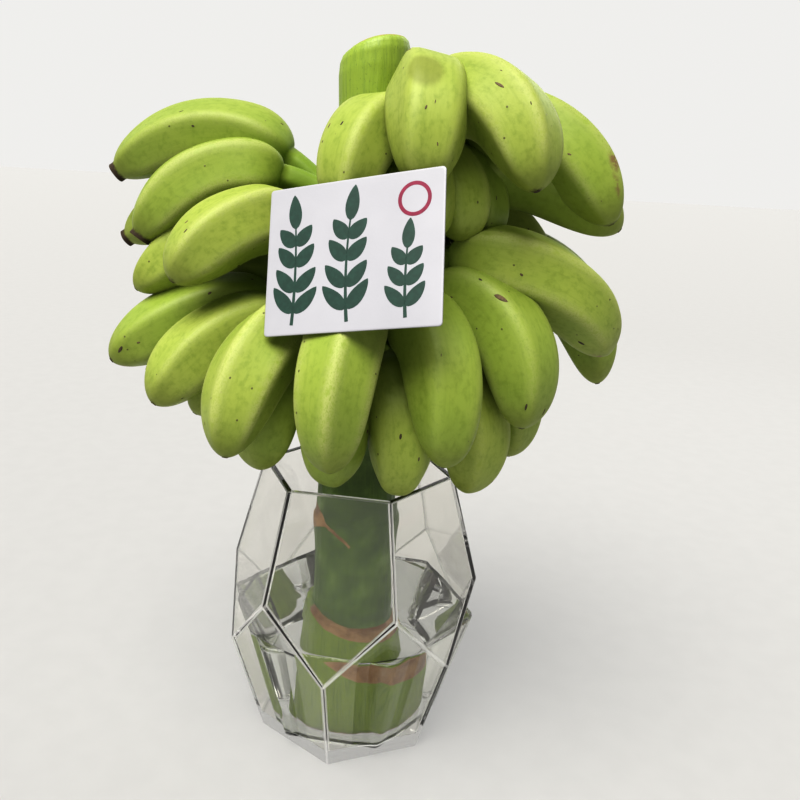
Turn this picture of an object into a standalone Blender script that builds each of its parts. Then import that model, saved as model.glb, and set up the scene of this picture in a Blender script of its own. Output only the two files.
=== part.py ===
# A bunch of small green bananas on its cut stalk, standing in a faceted glass vase of water,
# with a plain card resting against the fruit. Metres, +Z up, the front faces -Y.
# The origin is the centre of the vase's flat foot.

import math

import bmesh
import bpy
import numpy as np
from mathutils import Matrix

MM = 0.001
GAP = 0.3 * MM

# Vase: a twelve-sided belly between a hexagonal mouth and a hexagonal foot.
VASE_HEIGHT = 145 * MM
VASE_UPPER_BELT = 90 * MM
VASE_LOWER_BELT = 55.5 * MM
VASE_MOUTH_RADIUS = 50.5 * MM
VASE_FOOT_RADIUS = 48.5 * MM
VASE_TURN = math.radians(-41)
VASE_WALL = 3 * MM
VASE_FLOOR = 9 * MM
VASE_EDGE_BEVEL = 1 * MM
CUTTER_RISE = 20 * MM

# Water in the foot of the vase.
WATER_LEVEL = 67 * MM

# Stalk: upright, standing on the vase's floor.
STALK_AXIS_Y = 4 * MM
STALK_FOOT = VASE_FLOOR + GAP
STALK_TOP = 353 * MM
STALK_SIDES = 16
STALK_HOLE_SIDES = 24
# Height and radius of the stalk, from the cut end up: a wide old sheath round the foot, which ends
# in a step, and a raised scar where a leaf was cut off.
STALK_PROFILE = [
    (STALK_FOOT, 27.0 * MM),
    (STALK_FOOT + 2 * MM, 28.0 * MM),
    (30 * MM, 26.5 * MM),
    (43 * MM, 25.5 * MM),
    (52 * MM, 22.0 * MM),
    (110 * MM, 21.0 * MM),
    (114 * MM, 22.5 * MM),
    (119 * MM, 20.5 * MM),
    (200 * MM, 18.5 * MM),
    (300 * MM, 16.0 * MM),
    (346 * MM, 15.0 * MM),
    (351 * MM, 12.5 * MM),
    (STALK_TOP, 8.0 * MM),
]

# Finger: a curved body with five soft ridges between a thin neck and a blunt tip.
FINGER_RIDGES = 5
RIDGE_HEIGHT = 0.08
ROOT_DEPTH = 9 * MM
ROOT_RADIUS = 20 * MM
PATH_STEPS = 28
# Share of the finger's length, and the radius there as a share of its full radius.
FINGER_PROFILE = [
    (0.0, 0.38), (0.20, 0.36), (0.29, 0.76), (0.43, 0.98),
    (0.66, 0.99), (0.86, 0.77), (1.0, 0.28),
]

# Every finger is: angle of its root round the stalk, heading at the root and at the tip, all in
# degrees from the front towards +X; climb at the root and at the tip in degrees above level;
# root height, length and radius in millimetres.
LOWEST_OUTER_ROW = [
    (-80, -82, -74, 10, -36, 224, 108, 17),
    (-60, -64, -56, 12, -50, 218, 98, 17.5),
    (-35, -35, -32, 15, -74, 220, 106, 18),
    (-8, -2, -20, 24, -96, 223, 114, 18),
    (16, 32, 16, 24, -95, 222, 110, 18),
    (40, 57, 45, 32, -88, 226, 112, 19),
    (55, 52, 122, 22, -54, 246, 128, 18.5),
    (92, 94, 84, 20, -76, 248, 138, 17),
]
LOWEST_INNER_ROW = [
    (-64, -64, -64, -5, -52, 216, 78, 16),
    (-42, -38, -38, -5, -90, 214, 84, 17),
    (-14, -8, -14, -5, -110, 214, 86, 17),
    (12, 20, 20, -5, -110, 212, 88, 17),
    (38, 56, 52, 0, -105, 210, 96, 17),
    (62, 70, 68, 4, -92, 220, 98, 17),
]
MIDDLE_ROW = [
    (-110, -98, -92, 42, -36, 280, 120, 16.5),
    (-90, -84, -74, 24, -54, 281, 102, 17),
    (-62, -60, -58, 12, -48, 268, 87, 17),
    (-80, -84, -80, 0, -42, 268, 99, 15),
    (-110, -104, -100, 2, -33, 283, 115, 15),
]
TOP_OUTER_ROW = [
    (85, -26, -36, 46, -86, 295, 92, 17),
    (70, 8, -6, 56, -85, 303, 99, 18.5),
    (42, 50, 36, 48, -70, 304, 104, 18),
    (68, 77, 68, 32, -62, 301, 116, 18),
    (72, 82, 80, 20, -35, 286, 106, 17),
]
TOP_INNER_ROW = [
    (50, 16, 10, 5, -100, 300, 62, 15.5),
    (52, 46, 42, 5, -90, 298, 58, 15.5),
    (68, 62, 58, 5, -90, 297, 60, 15.5),
]
HAND_ROWS = [LOWEST_OUTER_ROW, LOWEST_INNER_ROW, MIDDLE_ROW, TOP_OUTER_ROW, TOP_INNER_ROW]

# The fingers round the back of each hand stand evenly: first and last angle, how many, climb at
# the root and at the tip, root height, length and radius.
BACK_ROWS = [
    (114, 254, 7, 18, -70, 232, 108, 17.5),
    (94, 266, 6, -5, -85, 222, 88, 16.5),
    (132, 226, 5, 8, -60, 276, 106, 17),
    (146, 230, 3, -10, -80, 264, 88, 16),
    (100, 122, 2, 35, -60, 304, 108, 17.5),
    (92, 118, 2, 5, -75, 278, 94, 16),
]

# Cushion where each hand grows out of the stalk: first and last angle, and height there.
CROWNS = [
    (-88, 272, 222, 228),
    (-120, -55, 292, 272),
    (125, 235, 276, 276),
    (-18, 125, 290, 296),
]
CROWN_REACH = 17 * MM
CROWN_RADIUS = 9 * MM
CROWN_STEP = 30
CROWN_SIDES = 8

# Card, leaning back against the fruit.
CARD_WIDTH = 78 * MM
CARD_HEIGHT = 62 * MM
CARD_THICKNESS = 0.8 * MM
CARD_CORNER = 1.5 * MM
CARD_CENTRE = (-6 * MM, -77 * MM, 261.5 * MM)
CARD_LEAN = math.radians(-20)
CARD_ROLL = math.radians(-11)
CARD_YAW = math.radians(-29)


def clear_scene():
    for old_object in list(bpy.data.objects):
        bpy.data.objects.remove(old_object, do_unlink=True)


def new_collection(name):
    collection = bpy.data.collections.new(name)
    bpy.context.scene.collection.children.link(collection)
    return collection


def new_material(name, colour, roughness, transmission=0.0):
    material = bpy.data.materials.new(name)
    material.use_nodes = True
    shader = material.node_tree.nodes["Principled BSDF"]
    shader.inputs["Base Color"].default_value = (*colour, 1)
    shader.inputs["Roughness"].default_value = roughness
    shader.inputs["Metallic"].default_value = 0
    shader.inputs["Transmission Weight"].default_value = transmission
    return material


def add_object(collection, name, mesh_builder, material=None):
    mesh = bpy.data.meshes.new(name)
    mesh_builder.to_mesh(mesh)
    mesh_builder.free()
    new_object = bpy.data.objects.new(name, mesh)
    if material:
        mesh.materials.append(material)
    collection.objects.link(new_object)
    return new_object


def hide_helper(helper):
    helper.hide_render = True
    helper.display_type = "WIRE"


def apply_boolean(target, operation, operand, solver="EXACT"):
    """Cut the target with an object, or join a whole collection to it, and keep the result."""
    modifier = target.modifiers.new("Boolean", "BOOLEAN")
    modifier.operation = operation
    modifier.solver = solver
    if isinstance(operand, bpy.types.Collection):
        modifier.operand_type = "COLLECTION"
        modifier.collection = operand
        pieces = list(operand.objects)
    else:
        modifier.object = operand
        pieces = [operand]
    evaluated = target.evaluated_get(bpy.context.evaluated_depsgraph_get())
    joined = bpy.data.meshes.new_from_object(evaluated)
    target.modifiers.clear()
    target.data = joined
    for piece in pieces:
        bpy.data.objects.remove(piece, do_unlink=True)


def keep_outer_body(target):
    """Fill the hollows that joining sealed, and drop loose scraps: only the largest shell stays."""
    builder = bmesh.new()
    builder.from_mesh(target.data)
    waiting = set(builder.faces)
    shells = []
    while waiting:
        shell = [waiting.pop()]
        for face in shell:
            for edge in face.edges:
                neighbours = waiting.intersection(edge.link_faces)
                waiting -= neighbours
                shell.extend(neighbours)
        shells.append(shell)
    shells.sort(key=len)
    for shell in shells[:-1]:
        bmesh.ops.delete(builder, geom=shell, context="FACES")
    builder.to_mesh(target.data)
    builder.free()


def heading(angle, climb):
    """Direction at an angle from the front towards +X, and above level, in degrees."""
    turn = math.radians(angle)
    lift = math.radians(climb)
    return np.array([math.sin(turn) * math.cos(lift), -math.cos(turn) * math.cos(lift), math.sin(lift)])


def ease(share):
    return share * share * (3 - 2 * share)


def on_stalk_axis(height):
    return np.array([0, STALK_AXIS_Y, height])


def add_ring(builder, centre, forward, side, radii):
    """One closed loop of vertices across a path; the first points away from the curve's inside."""
    forward = forward / np.linalg.norm(forward)
    side = side - forward * (side @ forward)
    side /= np.linalg.norm(side)
    outward = np.cross(forward, side)
    turns = np.linspace(0, 2 * math.pi, len(radii), endpoint=False)
    return [
        builder.verts.new(centre + radius * (math.cos(turn) * outward + math.sin(turn) * side))
        for turn, radius in zip(turns, radii)
    ]


def loft(builder, rings):
    """Join rings of equal count, and close both ends."""
    for near, far in zip(rings, rings[1:]):
        count = len(near)
        for k in range(count):
            following = (k + 1) % count
            builder.faces.new((near[k], near[following], far[following], far[k]))
    builder.faces.new(tuple(reversed(rings[0])))
    builder.faces.new(tuple(rings[-1]))
    bmesh.ops.recalc_face_normals(builder, faces=builder.faces)


def finger_path(root_angle, start_angle, end_angle, start_climb, end_climb, height, length):
    """Points from the root to the tip, turning steadily from one heading to the other."""
    point = on_stalk_axis(height * MM) + ROOT_RADIUS * heading(root_angle, 0)
    points = [point]
    for step in range(PATH_STEPS):
        bend = ease((step + 0.5) / PATH_STEPS)
        angle = start_angle + (end_angle - start_angle) * bend
        climb = start_climb + (end_climb - start_climb) * bend
        point = point + heading(angle, climb) * length * MM / PATH_STEPS
        points.append(point)
    return np.array(points)


def build_finger(finger):
    root_angle, start_angle, end_angle, start_climb, end_climb, height, length, radius = finger
    path = finger_path(root_angle, start_angle, end_angle, start_climb, end_climb, height, length)
    path_share = np.linspace(0, 1, len(path))
    sides = 2 * FINGER_RIDGES
    ridge = 1 - RIDGE_HEIGHT * (np.arange(sides) % 2)
    builder = bmesh.new()
    rings = []
    for share, girth in FINGER_PROFILE:
        bend = ease(share)
        angle = start_angle + (end_angle - start_angle) * bend
        climb = start_climb + (end_climb - start_climb) * bend
        centre = np.array([np.interp(share, path_share, path[:, axis]) for axis in range(3)])
        if share == 0:
            centre = centre - ROOT_DEPTH * heading(root_angle, 0)
        side = heading(angle + 90, 0)
        rings.append(add_ring(builder, centre, heading(angle, climb), side, radius * MM * girth * ridge))
    loft(builder, rings)
    return builder


def back_fingers():
    """The fingers that follow a rule, in the same form as the rows above."""
    fingers = []
    for first, last, count, start_climb, end_climb, height, length, radius in BACK_ROWS:
        for angle in np.linspace(first, last, count):
            fingers.append((angle, angle, angle, start_climb, end_climb, height, length, radius))
    return fingers


def build_crown(first_angle, last_angle, first_height, last_height):
    """A swollen band round the stalk, which the necks of one hand grow out of."""
    builder = bmesh.new()
    count = round((last_angle - first_angle) / CROWN_STEP) + 1
    radii = np.full(CROWN_SIDES, CROWN_RADIUS)
    rings = []
    for angle, height in zip(np.linspace(first_angle, last_angle, count),
                             np.linspace(first_height, last_height, count)):
        centre = on_stalk_axis(height * MM) + CROWN_REACH * heading(angle, 0)
        rings.append(add_ring(builder, centre, heading(angle + 90, 0), heading(angle, 0), radii))
    loft(builder, rings)
    return builder


def build_turned(profile, sides):
    """A closed round body from heights and radii, bottom to top, on the stalk's axis."""
    builder = bmesh.new()
    rings = [
        add_ring(builder, on_stalk_axis(height), np.array([0, 0, 1.0]), np.array([1.0, 0, 0]),
                 np.full(sides, radius))
        for height, radius in profile
    ]
    loft(builder, rings)
    return builder


def build_banana_bunch(parts, cutters, material):
    bunch = add_object(parts, "banana_bunch", build_turned(STALK_PROFILE, STALK_SIDES), material)
    for crown in CROWNS:
        add_object(cutters, "crown", build_crown(*crown))
    for finger in sum(HAND_ROWS, []) + back_fingers():
        add_object(cutters, "finger", build_finger(finger))
    apply_boolean(bunch, "UNION", cutters, "MANIFOLD")
    keep_outer_body(bunch)
    return bunch


def belt_radii():
    """Radii of the two belts at which all twelve side facets come out flat."""
    across = math.cos(math.pi / 6)
    belt_gap = VASE_UPPER_BELT - VASE_LOWER_BELT
    upper_run = belt_gap / (VASE_HEIGHT - VASE_UPPER_BELT)
    lower_run = belt_gap / VASE_LOWER_BELT
    unknowns = np.array([[across * (1 + upper_run), -1.0], [-1.0, across * (1 + lower_run)]])
    knowns = np.array([across * upper_run * VASE_MOUTH_RADIUS, across * lower_run * VASE_FOOT_RADIUS])
    return np.linalg.solve(unknowns, knowns)


def add_hexagon(builder, height, radius, offset):
    """Six vertices at one height; an offset of 0.5 turns them by half a facet."""
    corners = []
    for k in range(6):
        turn = VASE_TURN + (k + offset) * math.pi / 3
        corners.append(builder.verts.new((radius * math.sin(turn), -radius * math.cos(turn), height)))
    return corners


def build_faceted_body(inset, floor, rise):
    """The vase's closed outer body, or the same body drawn in by a wall and cut off at a floor."""
    upper_radius, lower_radius = belt_radii()
    shrink = inset / math.cos(math.pi / 6)
    foot_slope = (lower_radius - VASE_FOOT_RADIUS) / VASE_LOWER_BELT
    mouth_slope = (VASE_MOUTH_RADIUS - upper_radius) / (VASE_HEIGHT - VASE_UPPER_BELT)
    builder = bmesh.new()
    foot = add_hexagon(builder, floor, VASE_FOOT_RADIUS + foot_slope * floor - shrink, 0.5)
    lower = add_hexagon(builder, VASE_LOWER_BELT, lower_radius - shrink, 0.5)
    upper = add_hexagon(builder, VASE_UPPER_BELT, upper_radius - shrink, 0)
    mouth = add_hexagon(builder, VASE_HEIGHT + rise, VASE_MOUTH_RADIUS + mouth_slope * rise - shrink, 0)
    for k in range(6):
        following = (k + 1) % 6
        before = (k - 1) % 6
        builder.faces.new((mouth[k], mouth[following], upper[following], lower[k], upper[k]))
        builder.faces.new((foot[before], foot[k], lower[k], upper[k], lower[before]))
    builder.faces.new(mouth)
    builder.faces.new(foot)
    bmesh.ops.recalc_face_normals(builder, faces=builder.faces)
    return builder


def build_glass_vase(parts, cutters, material):
    vase = add_object(parts, "glass_vase", build_faceted_body(0, 0, 0), material)
    bevel = vase.modifiers.new("Bevel", "BEVEL")
    bevel.width = VASE_EDGE_BEVEL
    bevel.segments = 1
    bevel.limit_method = "ANGLE"
    bevel.angle_limit = math.radians(20)
    hollow = add_object(cutters, "vase_hollow", build_faceted_body(VASE_WALL, VASE_FLOOR, CUTTER_RISE))
    hide_helper(hollow)
    apply_boolean(vase, "DIFFERENCE", hollow)
    return vase


def build_water(parts, cutters, material):
    """The vase's inside up to the water's level, with a round hole for the stalk."""
    floor = VASE_FLOOR + GAP
    water = add_object(parts, "water", build_faceted_body(VASE_WALL + 2 * GAP, floor, 0), material)
    builder = bmesh.new()
    above_level = Matrix.Translation((0, 0, WATER_LEVEL + VASE_HEIGHT / 2))
    bmesh.ops.create_cube(builder, size=VASE_HEIGHT, matrix=above_level)
    air = add_object(cutters, "air_above_water", builder)
    hide_helper(air)
    apply_boolean(water, "DIFFERENCE", air)
    sheath = STALK_PROFILE[1:5]
    below = [(floor - CUTTER_RISE, sheath[0][1])]
    above = [(WATER_LEVEL + CUTTER_RISE, sheath[-1][1])]
    hole_profile = [(height, radius + 2 * GAP) for height, radius in below + sheath + above]
    hole = add_object(cutters, "stalk_hole", build_turned(hole_profile, STALK_HOLE_SIDES))
    hide_helper(hole)
    apply_boolean(water, "DIFFERENCE", hole)
    return water


def build_card(parts, material):
    builder = bmesh.new()
    bmesh.ops.create_cube(builder, size=1)
    bmesh.ops.scale(builder, verts=builder.verts, vec=(CARD_WIDTH, CARD_THICKNESS, CARD_HEIGHT))
    corner_edges = [edge for edge in builder.edges
                    if abs((edge.verts[0].co - edge.verts[1].co).normalized().y) > 0.9]
    bmesh.ops.bevel(builder, geom=corner_edges, offset=CARD_CORNER, segments=3, affect="EDGES")
    card = add_object(parts, "card", builder, material)
    card.location = CARD_CENTRE
    turned = (Matrix.Rotation(CARD_YAW, 3, "Z") @ Matrix.Rotation(CARD_LEAN, 3, "X")
              @ Matrix.Rotation(CARD_ROLL, 3, "Y"))
    card.rotation_euler = turned.to_euler()
    return card


def main():
    clear_scene()
    parts = new_collection("Banana bunch in a vase")
    cutters = new_collection("Cutters")
    fruit_skin = new_material("Green banana skin", (0.33, 0.47, 0.07), 0.45)
    clear_glass = new_material("Clear glass", (0.93, 0.96, 0.95), 0.03, 1.0)
    clear_water = new_material("Water", (0.90, 0.96, 0.94), 0.02, 1.0)
    white_card = new_material("White card", (0.86, 0.86, 0.88), 0.55)
    build_banana_bunch(parts, cutters, fruit_skin)
    build_glass_vase(parts, cutters, clear_glass)
    build_water(parts, cutters, clear_water)
    build_card(parts, white_card)
    bpy.context.view_layer.update()


main()
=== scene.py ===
import math

import bpy
import numpy as np
from mathutils import Matrix, Vector


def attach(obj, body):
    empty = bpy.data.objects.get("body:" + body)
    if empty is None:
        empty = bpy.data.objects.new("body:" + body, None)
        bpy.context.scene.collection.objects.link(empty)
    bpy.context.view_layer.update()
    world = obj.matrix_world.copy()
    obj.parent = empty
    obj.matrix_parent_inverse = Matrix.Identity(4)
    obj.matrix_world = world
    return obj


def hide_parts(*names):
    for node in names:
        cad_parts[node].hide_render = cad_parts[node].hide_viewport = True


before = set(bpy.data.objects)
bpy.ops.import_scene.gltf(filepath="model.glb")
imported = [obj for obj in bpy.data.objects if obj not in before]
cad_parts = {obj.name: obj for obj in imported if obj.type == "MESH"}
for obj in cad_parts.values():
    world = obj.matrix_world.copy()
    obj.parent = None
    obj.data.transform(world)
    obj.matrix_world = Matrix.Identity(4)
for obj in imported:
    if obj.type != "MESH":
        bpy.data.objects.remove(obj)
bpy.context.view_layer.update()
scene = bpy.context.scene
mm = 0.001
print("frame loaded:", ", ".join(sorted(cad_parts)))


# Helpers for meshes.

# Makes an object from points and faces. Each array of faces holds faces with one number of corners.
# Attributes are one value, or one vector, for each point.
def addObject(name, points, faceArrays, attributes=None, smooth=True):
    loops = np.concatenate([faces.ravel() for faces in faceArrays])
    sizes = np.concatenate([np.full(len(faces), faces.shape[1]) for faces in faceArrays])
    mesh = bpy.data.meshes.new(name)
    mesh.vertices.add(len(points))
    mesh.vertices.foreach_set("co", np.asarray(points, np.float32).ravel())
    mesh.loops.add(len(loops))
    mesh.loops.foreach_set("vertex_index", loops.astype(np.int32))
    mesh.polygons.add(len(sizes))
    mesh.polygons.foreach_set("loop_start", (np.cumsum(sizes) - sizes).astype(np.int32))
    mesh.polygons.foreach_set("use_smooth", np.full(len(sizes), smooth))
    mesh.update(calc_edges=True)
    for key, values in (attributes or {}).items():
        isVector = np.ndim(values) == 2
        layer = mesh.attributes.new(key, "FLOAT_VECTOR" if isVector else "FLOAT", "POINT")
        layer.data.foreach_set("vector" if isVector else "value", np.asarray(values, np.float32).ravel())
    mesh.validate()
    piece = bpy.data.objects.new(name, mesh)
    scene.collection.objects.link(piece)
    return piece


# Skin over a grid of rings: quads between the rings and a fan to one point at each end. If the
# faces enclose a negative volume they are turned round, so that they always point out.
def closedSkin(grid, firstPole, lastPole):
    rows, columns = grid.shape[:2]
    row, column = np.indices((rows - 1, columns))
    following = (column + 1) % columns
    quads = np.stack([row * columns + column, (row + 1) * columns + column,
                      (row + 1) * columns + following, row * columns + following], -1).reshape(-1, 4)
    turn = np.arange(columns)
    after = (turn + 1) % columns
    lastRow = (rows - 1) * columns
    startFan = np.stack([turn, after, np.full(columns, rows * columns)], -1)
    endFan = np.stack([after + lastRow, turn + lastRow, np.full(columns, rows * columns + 1)], -1)
    fans = np.concatenate([startFan, endFan])
    points = np.concatenate([grid.reshape(-1, 3), [firstPole], [lastPole]])
    triangles = np.concatenate([quads[:, [0, 1, 2]], quads[:, [0, 2, 3]], fans])
    corners = [points[triangles[:, k]] for k in range(3)]
    if np.einsum("ij,ij->", corners[0], np.cross(corners[1], corners[2])) < 0:
        quads, fans = quads[:, ::-1], fans[:, ::-1]
    return points, quads, fans


# Joins several skins, with their attributes, into one object.
def joinSkins(name, skins, attributes=None, smooth=True):
    starts = np.cumsum([0] + [len(skin[0]) for skin in skins[:-1]])
    points = np.concatenate([skin[0] for skin in skins])
    quads = np.concatenate([skin[1] + start for skin, start in zip(skins, starts)])
    fans = np.concatenate([skin[2] + start for skin, start in zip(skins, starts)])
    joined = {}
    for key in (attributes[0] if attributes else {}):
        joined[key] = np.concatenate([values[key] for values in attributes])
    return addObject(name, points, [quads, fans], joined, smooth)


# Direction at an angle from the front towards +X and a climb above level, both in degrees: sines and
# cosines of the angle times the cosine of the climb, and the sine of the climb.
def heading(angle, climb):
    turn, lift = np.radians(angle), np.radians(climb)
    return np.stack([np.sin(turn) * np.cos(lift), -np.cos(turn) * np.cos(lift), np.sin(lift) + 0 * turn], -1)


# Smooth step: three times the square less twice the cube, with the share held between 0 and 1.
def ease(share):
    share = np.clip(share, 0, 1)
    return share * share * (3 - 2 * share)


def finish(piece, node, material):
    piece.data.materials.append(material)
    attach(piece, "root")
    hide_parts(node)


# Helpers for materials.

def addNode(tree, kind, inputs=None, **settings):
    made = tree.nodes.new("ShaderNode" + kind)
    for key, value in settings.items():
        setattr(made, key, value)
    for key, value in (inputs or {}).items():
        if isinstance(value, bpy.types.NodeSocket):
            tree.links.new(value, made.inputs[key])
        else:
            made.inputs[key].default_value = value
    return made


def newMaterial(name, colour, roughness, **sockets):
    material = bpy.data.materials.new(name)
    material.use_nodes = True
    shader = material.node_tree.nodes["Principled BSDF"]
    shader.inputs["Base Color"].default_value = (*colour, 1)
    shader.inputs["Roughness"].default_value = roughness
    for key, value in sockets.items():
        shader.inputs[key.replace("_", " ")].default_value = value
    return material, material.node_tree, shader


def attribute(tree, name, output="Fac"):
    return addNode(tree, "Attribute", attribute_name=name).outputs[output]


def objectPlace(tree):
    return addNode(tree, "TexCoord").outputs["Object"]


def stretch(tree, place, scale):
    return addNode(tree, "Mapping", {"Vector": place, "Scale": scale}).outputs["Vector"]


def noise(tree, place, scale, detail=3.0, rough=0.5):
    made = addNode(tree, "TexNoise", {"Vector": place, "Scale": scale, "Detail": detail, "Roughness": rough})
    return made.outputs["Fac"]


# Turns values between low and high into values between 0 and 1, or back if low is above high.
def ramp(tree, value, low, high):
    made = addNode(tree, "MapRange", {"Value": value, "From Min": low, "From Max": high})
    made.interpolation_type = "SMOOTHSTEP"
    return made.outputs["Result"]


def calc(tree, operation, first, second=0.0):
    return addNode(tree, "Math", {0: first, 1: second}, operation=operation).outputs[0]


def times(tree, first, second):
    return calc(tree, "MULTIPLY", first, second)


def plus(tree, first, second):
    return calc(tree, "ADD", first, second)


def mixColour(tree, share, first, second):
    paint = [(*c, 1) if isinstance(c, tuple) else c for c in (first, second)]
    return addNode(tree, "Mix", {0: share, 6: paint[0], 7: paint[1]}, data_type="RGBA").outputs[2]


def bump(tree, height, distance, strength=1.0, under=None):
    made = addNode(tree, "Bump", {"Height": height, "Distance": distance, "Strength": strength})
    if under:
        tree.links.new(under, made.inputs["Normal"])
    return made.outputs["Normal"]


# Camera, lights and floor.

view = dict(lens=37.3, place=(0, -0.407, 0.294), pitch=15.4, roll=3.2, yaw=2.8)


def addCamera():
    pitch, roll, yaw = (math.radians(view[key]) for key in ("pitch", "roll", "yaw"))
    ahead = np.array([math.sin(yaw) * math.cos(pitch), math.cos(yaw) * math.cos(pitch), -math.sin(pitch)])
    level = np.cross(ahead, [0, 0, 1])
    level /= np.linalg.norm(level)
    above = np.cross(level, ahead)
    across = level * math.cos(roll) + above * math.sin(roll)
    upward = above * math.cos(roll) - level * math.sin(roll)
    lens = bpy.data.cameras.new("camera")
    lens.lens = view["lens"]
    lens.sensor_width = 36
    lens.clip_start = 0.01
    camera = bpy.data.objects.new("camera", lens)
    matrix = np.eye(4)
    matrix[:3, 0], matrix[:3, 1], matrix[:3, 2], matrix[:3, 3] = across, upward, -ahead, view["place"]
    camera.matrix_world = Matrix(matrix.tolist())
    scene.collection.objects.link(camera)
    scene.camera = camera


studio = dict(
    sunColour=(1.0, 0.975, 0.92), sunStrength=6.1, sunAngle=50, sunFrom=(-0.24, -0.42, 1.15),
    rimColour=(0.95, 0.98, 1.0), rimPower=1.5, rimSize=0.6, rimPlace=(0.55, 0.75, 0.75), aim=(0, 0, 0.2),
    contrast=0.74, ambient=0.11, surround=0.90, airColour=(1.0, 0.995, 0.98),
    floorSide=30.0, floorColour=(0.17, 0.169, 0.166), floorMottle=(0.18, 0.179, 0.176), floorGlow=0.45,
)


def addLamp(name, kind, place, power, colour):
    lamp = bpy.data.lights.new(name, kind)
    lamp.energy, lamp.color = power, colour
    holder = bpy.data.objects.new(name, lamp)
    holder.location = place
    holder.rotation_euler = (Vector(place) - Vector(studio["aim"])).to_track_quat("Z", "Y").to_euler()
    scene.collection.objects.link(holder)
    return lamp


# The air is pale where the eye, a reflection or the glass looks at it, and dimmer as a source of
# light, so that the undersides of the fruit stay dark.
def addAir():
    world = bpy.data.worlds.new("world")
    world.use_nodes = True
    scene.world = world
    tree = world.node_tree
    back = tree.nodes["Background"]
    back.inputs["Color"].default_value = (*studio["airColour"], 1)
    ray = addNode(tree, "LightPath").outputs
    seen = calc(tree, "MAXIMUM", ray["Is Camera Ray"], calc(tree, "MAXIMUM", ray["Is Glossy Ray"],
                                                            ray["Is Transmission Ray"]))
    bright = times(tree, seen, studio["surround"] - studio["ambient"])
    tree.links.new(plus(tree, bright, studio["ambient"]), back.inputs["Strength"])


def addFloor():
    half = studio["floorSide"] / 2
    corners = np.array([(-half, -half, 0), (half, -half, 0), (half, half, 0), (-half, half, 0)])
    floor = addObject("floor", corners, [np.array([[0, 1, 2, 3]])])
    material, tree, shader = newMaterial("pale floor", studio["floorColour"], 0.7)
    grain = noise(tree, objectPlace(tree), 60, 5)
    tone = mixColour(tree, ramp(tree, grain, 0.3, 0.7), studio["floorColour"], studio["floorMottle"])
    tree.links.new(tone, shader.inputs["Base Color"])
    shader.inputs["Emission Color"].default_value = (*studio["airColour"], 1)
    shader.inputs["Emission Strength"].default_value = studio["floorGlow"]
    floor.data.materials.append(material)


def addStudio():
    scene.view_settings.view_transform = "Standard"
    scene.view_settings.gamma = studio["contrast"]
    sun = addLamp("keyLamp", "SUN", studio["sunFrom"], studio["sunStrength"], studio["sunColour"])
    sun.angle = math.radians(studio["sunAngle"])
    rim = addLamp("rimLamp", "AREA", studio["rimPlace"], studio["rimPower"], studio["rimColour"])
    rim.shape, rim.size = "DISK", studio["rimSize"]
    addAir()
    addFloor()


addCamera()
addStudio()
print("camera, lamps and floor made")


# Fruit.

# A finger is: angle of its root round the stalk, heading at the root and at the tip, all in degrees
# from the front towards +X; climb at the root and at the tip in degrees above level; root height,
# length and radius in millimetres; where its ridges stand, in degrees from its outer side; and how
# sharp they are.
hands = {
    "lowFront": [
        (-80, -82, -74, 10, -36, 224, 108, 17, 50, 7),
        (-60, -64, -56, 12, -50, 218, 98, 17.5, 42, 9),
        (-35, -35, -32, 15, -74, 220, 106, 18, 4, 13),
        (-8, -2, -20, 24, -96, 223, 114, 18, 12, 13),
        (16, 32, 16, 24, -95, 222, 110, 18, 30, 6),
        (40, 57, 45, 32, -88, 226, 112, 19, 34, 8),
        (55, 52, 122, 22, -54, 246, 128, 18.5, -45, 11),
        (92, 94, 84, 20, -76, 248, 138, 17, -10, 7),
    ],
    "lowInner": [
        (-64, -64, -64, -5, -52, 216, 78, 16, 20, 6),
        (-42, -38, -38, -5, -90, 214, 84, 17, 30, 6),
        (-14, -8, -14, -5, -110, 214, 86, 17, 25, 7),
        (12, 20, 20, -5, -110, 212, 88, 17, 15, 6),
        (38, 56, 52, 0, -105, 210, 96, 17, 20, 8),
        (62, 70, 68, 4, -92, 220, 98, 17, 10, 8),
    ],
    "middle": [
        (-110, -98, -92, 42, -36, 280, 120, 16.5, 62, 9),
        (-90, -84, -74, 24, -54, 281, 102, 17, 38, 11),
        (-62, -60, -58, 12, -48, 268, 87, 17, 40, 11),
        (-80, -84, -80, 0, -42, 268, 99, 15, 30, 7),
        (-110, -104, -100, 2, -33, 283, 115, 15, 20, 7),
    ],
    "topFront": [
        (85, -26, -36, 46, -86, 295, 92, 17, 30, 10),
        (70, 8, -6, 56, -85, 303, 99, 18.5, 46, 7),
        (42, 50, 36, 48, -70, 304, 104, 18, -22, 11),
        (68, 77, 68, 32, -62, 301, 116, 18, -28, 9),
        (72, 82, 80, 20, -35, 286, 106, 17, -10, 8),
    ],
    "topInner": [
        (50, 16, 10, 5, -100, 300, 62, 15.5, 20, 7),
        (52, 46, 42, 5, -90, 298, 58, 15.5, 15, 7),
        (68, 62, 58, 5, -90, 297, 60, 15.5, 25, 7),
    ],
}

# Round the back the fingers of each hand stand evenly: first and last angle, how many, climb at the
# root and at the tip, root height, length and radius.
backHands = {
    "lowBack": [(114, 254, 7, 18, -70, 232, 108, 17.5), (94, 266, 6, -5, -85, 222, 88, 16.5)],
    "topBack": [(132, 226, 5, 8, -60, 276, 106, 17), (146, 230, 3, -10, -80, 264, 88, 16),
                (100, 122, 2, 35, -60, 304, 108, 17.5), (92, 118, 2, 5, -75, 278, 94, 16)],
}

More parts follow.
